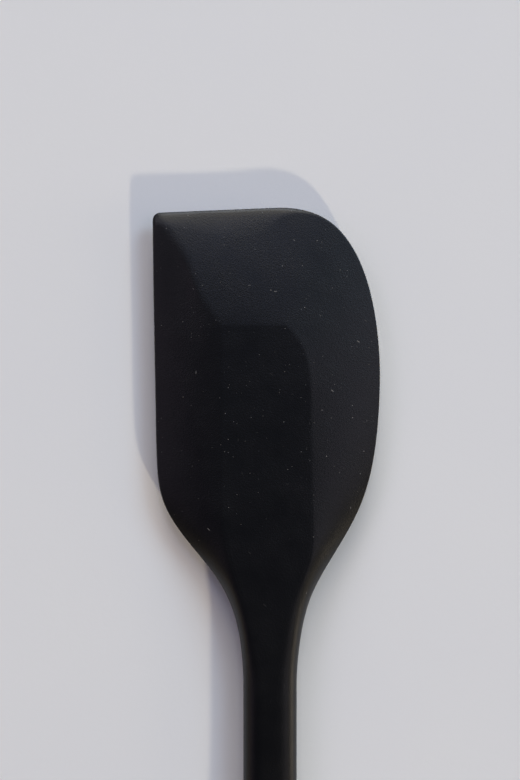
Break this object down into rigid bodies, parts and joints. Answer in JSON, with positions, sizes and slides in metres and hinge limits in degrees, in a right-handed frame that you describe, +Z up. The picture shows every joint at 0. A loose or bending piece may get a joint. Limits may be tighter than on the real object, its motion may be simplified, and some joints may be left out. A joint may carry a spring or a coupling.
{
  "type": "silicone spatula",
  "caption": "One-piece silicone scraper spatula: bevelled blade with a straight and a bowed edge, slim neck, rounded handle with a hanging hole, over a stiff nylon core.",
  "frame": {"origin": "on the surface that the spatula lies on, under the middle of its length and width", "axes": "+Y along the handle towards the blade's tip, +X towards the bowed edge, +Z up out of the flat face"},
  "size_m": [0.0568, 0.26, 0.009],
  "materials": {
    "silicone": "matte black silicone with a very fine grain",
    "nylon": "black glass-filled nylon, as moulded"
  },
  "bodies": {
    "root": {"silicone_cover": "silicone", "nylon_core": "nylon"}
  },
  "joints": []
}
